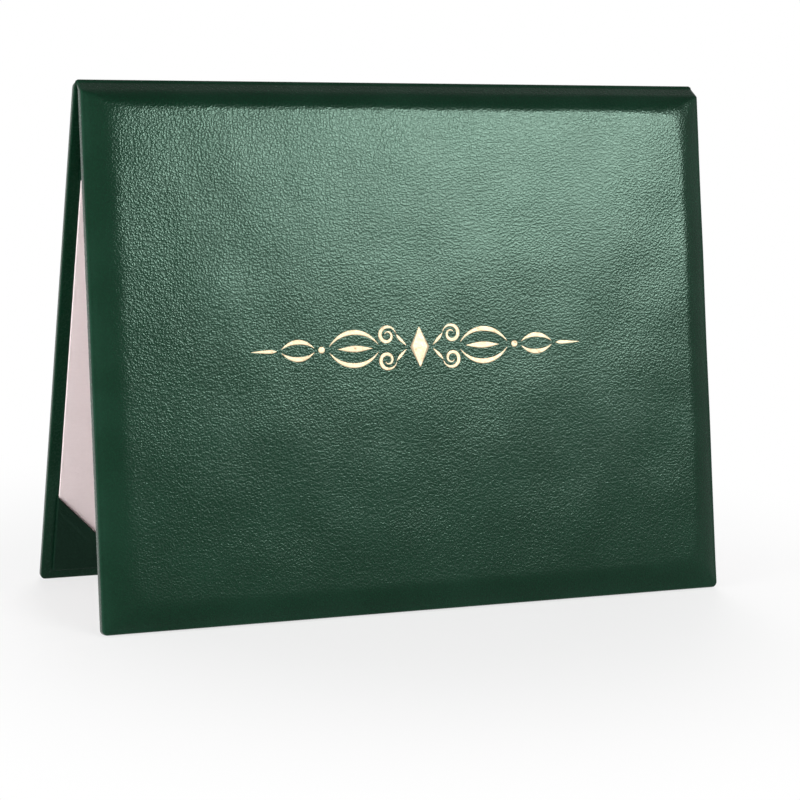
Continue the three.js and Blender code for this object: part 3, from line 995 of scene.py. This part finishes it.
ornament.data.materials.append(gold_foil())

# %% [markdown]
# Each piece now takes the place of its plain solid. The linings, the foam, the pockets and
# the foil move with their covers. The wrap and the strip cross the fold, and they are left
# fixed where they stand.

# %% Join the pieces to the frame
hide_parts("front_wrap", "back_wrap")
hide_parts("front_hinge_liner", "back_hinge_liner")
for cover, lining in linings.items():
    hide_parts(f"{cover}_lining")
    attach(lining, f"{cover}_cover")
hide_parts("front_foam_pad")
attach(foam, "front_cover")
for node, piece in pockets.items():
    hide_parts(node)
    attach(piece, "back_cover")
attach(ornament, "front_cover")

for bending in (wrap, fold_strip):
    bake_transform(bending)

# %% [markdown]
# The camera stands where the photograph's did. Its direction, distance and lens were found
# by fitting the cover's corners to the picture. The lens is about twice a normal one.

# %% Camera
FOCAL_PIXELS = 2488.0
PICTURE_PIXELS = 800
SENSOR = 36.0
VIEW_TURN, VIEW_DROP, VIEW_ROLL = 23.873, 10.305, 2.166
VIEW_TARGET = np.array([13.09, 0.0, 91.89])
VIEW_DISTANCE = 1130.2
CENTRE_SHIFT = (15.94, -14.7)


def add_camera():
    """Looks along a direction turned from +Y and dropped below level, then rolled."""
    turn, drop, roll = (math.radians(v) for v in (VIEW_TURN, VIEW_DROP, VIEW_ROLL))
    look = np.array([math.sin(turn) * math.cos(drop), math.cos(turn) * math.cos(drop), -math.sin(drop)])
    level_right = np.array([math.cos(turn), -math.sin(turn), 0])
    level_up = np.cross(level_right, look)
    right = math.cos(roll) * level_right + math.sin(roll) * level_up
    up = -math.sin(roll) * level_right + math.cos(roll) * level_up
    place = (VIEW_TARGET - look * VIEW_DISTANCE) * MM
    data = bpy.data.cameras.new("camera")
    data.sensor_width = SENSOR
    data.lens = FOCAL_PIXELS / PICTURE_PIXELS * SENSOR
    data.shift_x = -CENTRE_SHIFT[0] / PICTURE_PIXELS
    data.shift_y = CENTRE_SHIFT[1] / PICTURE_PIXELS
    data.clip_end = 20
    camera = add_object("camera", data)
    rotation = Matrix([[right[k], up[k], -look[k]] for k in range(3)])
    camera.matrix_world = Matrix.Translation(Vector(place)) @ rotation.to_4x4()
    bpy.context.scene.camera = camera


add_camera()

# %% [markdown]
# The sheen on the padded face is the mirror image of one lamp to the front right, seen near
# the fold and fading down the cover. A soft lamp beside it lights the front, a low one on
# the left reaches in to the lining, and one lights the back. The sky is white where the
# camera or a mirrored ray sees it, so the backdrop is white without lighting the cover
# more. For mirrored rays its top is dim, so that the fold and the slopes stay dark green.

# %% Lamps


def add_lamp(name, place, aim, size, power, sheen_only=False):
    """An area lamp turned to its aim. The sheen's is seen only in reflections, and the
    others only light what they fall on."""
    data = bpy.data.lights.new(name, "AREA")
    data.shape = "RECTANGLE"
    data.size, data.size_y = size
    data.energy = power
    lamp = add_object(name, data)
    lamp.visible_glossy = sheen_only
    lamp.visible_diffuse = not sheen_only
    lamp.location = place
    lamp.rotation_euler = (Vector(aim) - Vector(place)).to_track_quat("-Z", "Y").to_euler()


add_lamp("sheen_right", (0.59, -1.03, 0.60), (0.08, -0.01, 0.205), (0.62, 0.28), 26.0, sheen_only=True)
add_lamp("soft_front", (0.45, -1.15, 0.70), (0, -0.02, 0.12), (0.7, 0.7), 9.5)
add_lamp("low_left", (-1.1, -0.34, 0.22), (-0.1, 0.02, 0.1), (0.5, 0.5), 12.0)
add_lamp("soft_back", (0.45, 1.15, 0.85), (0, 0.03, 0.1), (0.8, 0.8), 13.0)

# %% Sky and floor
world = bpy.data.worlds.new("studio")
bpy.context.scene.world = world
world.use_nodes = True
sky = world.node_tree
backdrop = sky.nodes["Background"]
backdrop.inputs["Color"].default_value = (1, 1, 1, 1)
SKY_LIGHT = 0.26            # strength for rays that only light
HIGH_MIRRORED = 0.4         # strength overhead for mirrored rays
FLOOR_RADIUS, FLOOR_SIDES = 6, 96


def seen_white(tree):
    """One where the camera, a mirrored ray or a clear one looks, nought for other rays."""
    rays = tree.nodes.new("ShaderNodeLightPath")
    mirrored = maths(tree, "MAXIMUM", rays.outputs["Is Glossy Ray"], rays.outputs["Is Transmission Ray"])
    return maths(tree, "MAXIMUM", rays.outputs["Is Camera Ray"], mirrored)


strength = maths(sky, "ADD", times(sky, seen_white(sky), 1 - SKY_LIGHT), SKY_LIGHT)
sky_way = sky.nodes.new("ShaderNodeTexCoord").outputs["Generated"]
towards = add_node(sky, "SeparateXYZ", Vector=sky_way)
ceiling = stepped(sky, towards.outputs["Z"], 0.35, 0.75, 0, 1 - HIGH_MIRRORED)
rays = sky.nodes.new("ShaderNodeLightPath")
dimming = times(sky, ceiling, rays.outputs["Is Glossy Ray"])
sky.links.new(maths(sky, "SUBTRACT", strength, dimming), backdrop.inputs["Strength"])


def add_floor():
    """A pale disc that takes the cover's shadow close by and turns white further out."""
    turns = np.linspace(0, 2 * np.pi, FLOOR_SIDES, endpoint=False)
    rim = FLOOR_RADIUS * np.stack([np.cos(turns), np.sin(turns), 0 * turns], axis=1)
    mesh = bpy.data.meshes.new("floor")
    mesh.from_pydata(rim.tolist(), [], [list(range(FLOOR_SIDES))])
    floor = add_object("floor", mesh)
    material, tree, shader = new_material("pale_floor", 0.9, specular=0.0)
    shader.inputs["Base Color"].default_value = (0.93, 0.93, 0.93, 1)
    white = add_node(tree, "Emission", Color=(1, 1, 1, 1), Strength=1.0)
    where = own_place(tree)
    away = add_node(tree, "VectorMath", operation="LENGTH")
    tree.links.new(where, away.inputs[0])
    share = times(tree, seen_white(tree), stepped(tree, away.outputs["Value"], 0.10, 0.32, 0.66, 1.0))
    blend = tree.nodes.new("ShaderNodeMixShader")
    fill_sockets(tree, blend, enumerate((share, shader.outputs[0], white.outputs[0])))
    tree.links.new(blend.outputs[0], tree.nodes["Material Output"].inputs["Surface"])
    floor.data.materials.append(material)


add_floor()
bpy.context.scene.view_settings.view_transform = "Standard"
